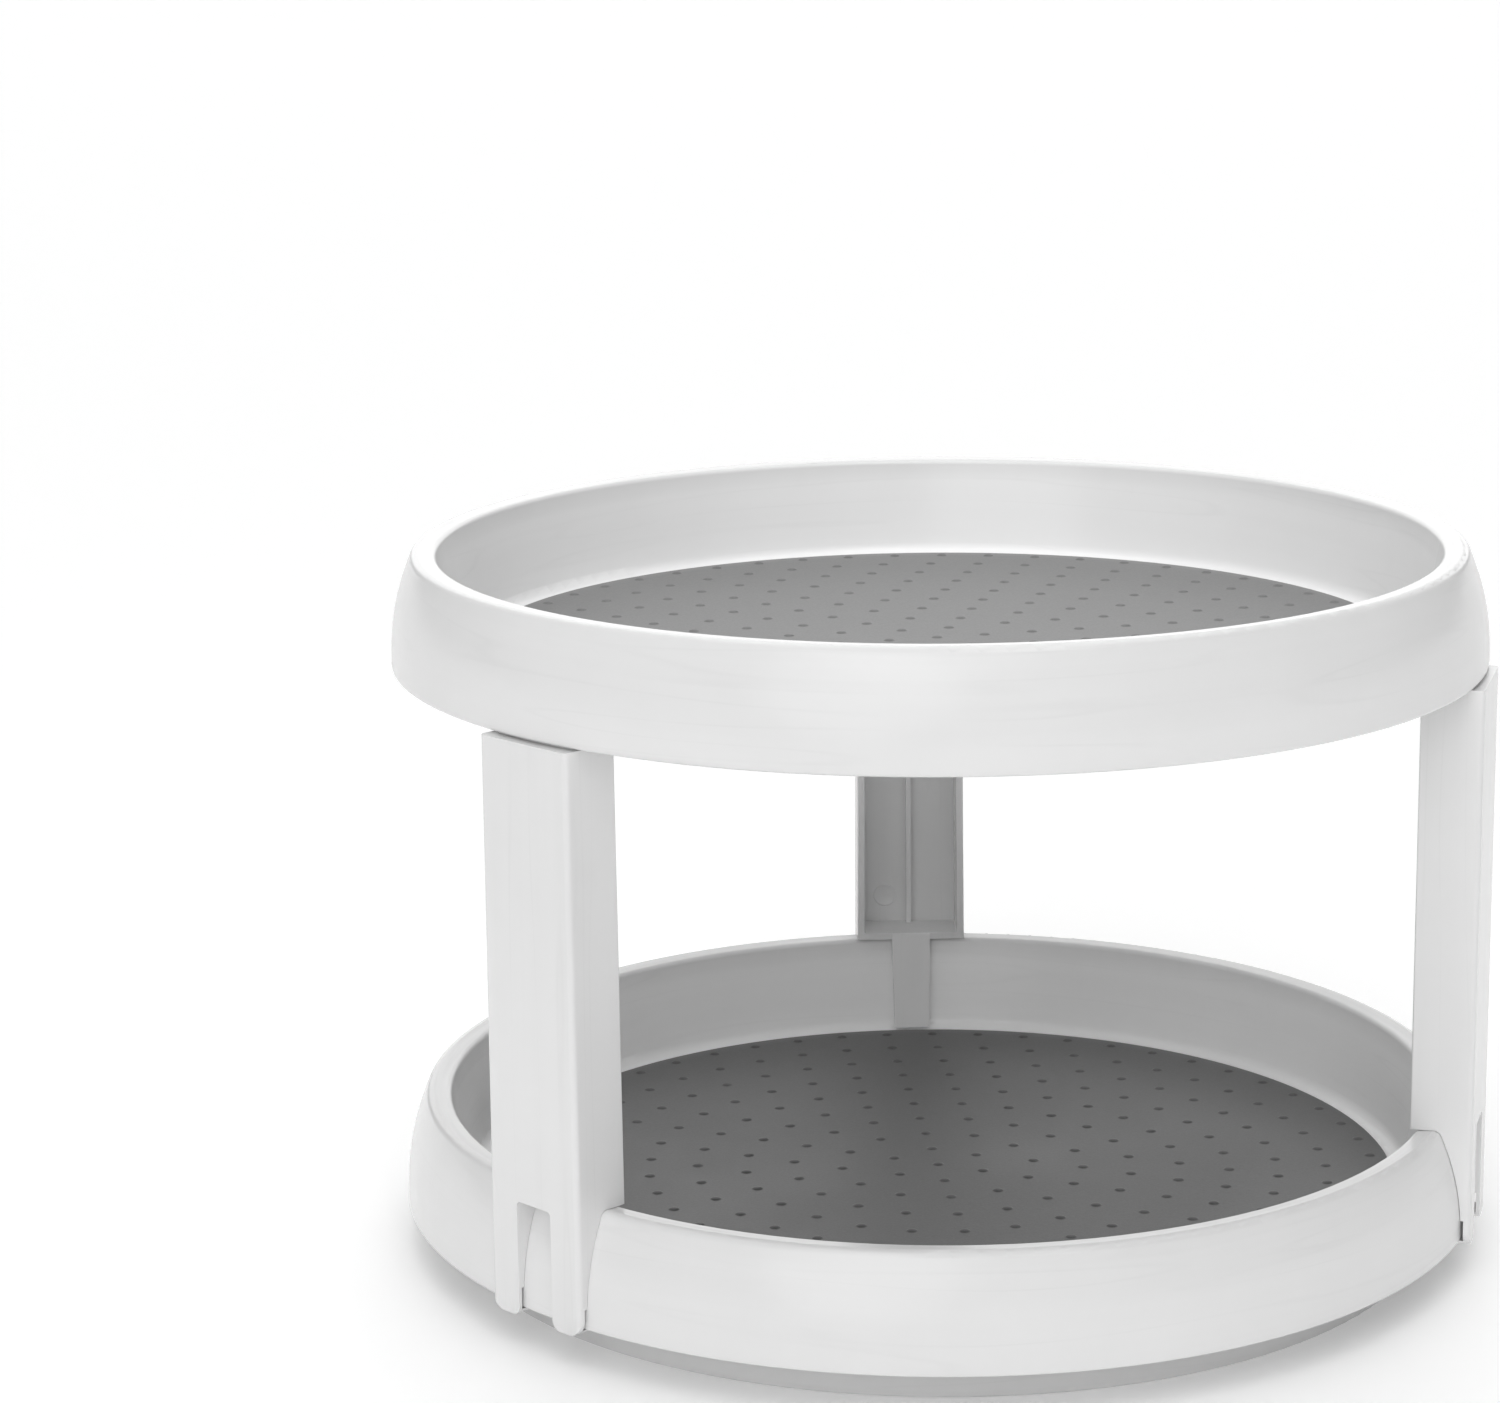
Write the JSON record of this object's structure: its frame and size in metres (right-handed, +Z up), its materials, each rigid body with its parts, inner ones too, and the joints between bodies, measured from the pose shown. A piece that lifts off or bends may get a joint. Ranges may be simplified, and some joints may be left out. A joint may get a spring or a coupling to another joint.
{
  "type": "two-tier turntable",
  "caption": "Round two-tier storage turntable: rimmed trays with dimpled non-slip mats on clip-on legs, turning on a low ball-bearing base.",
  "frame": {"origin": "on the turning axis, in the plane that the foot pads stand on", "axes": "+Z up along the turning axis; -Y to the front; at rest the rear leg is 94 degrees, the left leg 227 degrees and the right leg 346 degrees counterclockwise from +X"},
  "size_m": [0.3057, 0.3071, 0.1982],
  "materials": {
    "white_plastic": "glossy moulded white",
    "grey_mat": "soft satin grey",
    "base_plastic": "satin moulded white",
    "cage_plastic": "natural moulded plastic",
    "ball_steel": "polished bearing steel",
    "steel": "zinc plated",
    "pad_rubber": "matte grey rubber"
  },
  "bodies": {
    "base": {"base_plate": "base_plastic", "pivot_washer": "steel", "pivot_screw": "steel", "foot_pad_1": "pad_rubber", "foot_pad_2": "pad_rubber", "foot_pad_3": "pad_rubber", "foot_pad_4": "pad_rubber", "foot_pad_5": "pad_rubber", "foot_pad_6": "pad_rubber"},
    "bearing": {"ball_cage": "cage_plastic", "ball_01": "ball_steel", "ball_02": "ball_steel", "ball_03": "ball_steel", "ball_04": "ball_steel", "ball_05": "ball_steel", "ball_06": "ball_steel", "ball_07": "ball_steel", "ball_08": "ball_steel", "ball_09": "ball_steel", "ball_10": "ball_steel", "ball_11": "ball_steel", "ball_12": "ball_steel", "ball_13": "ball_steel", "ball_14": "ball_steel", "ball_15": "ball_steel", "ball_16": "ball_steel"},
    "carousel": {"lower_tray": "white_plastic", "lower_mat": "grey_mat", "upper_tray": "white_plastic", "upper_mat": "grey_mat", "rear_leg": "white_plastic", "left_leg": "white_plastic", "right_leg": "white_plastic"}
  },
  "joints": [
    {"name": "carousel_spin", "type": "hinge", "parent": "base", "child": "carousel", "pos_m": [0, 0, 0], "axis": [0, 0, 1], "continuous": true},
    {"name": "bearing_orbit", "type": "hinge", "parent": "base", "child": "bearing", "pos_m": [0, 0, 0], "axis": [0, 0, 1], "continuous": true}
  ],
  "couplings": [
    {"joint": "bearing_orbit", "follows": "carousel_spin", "ratio": 0.5}
  ]
}
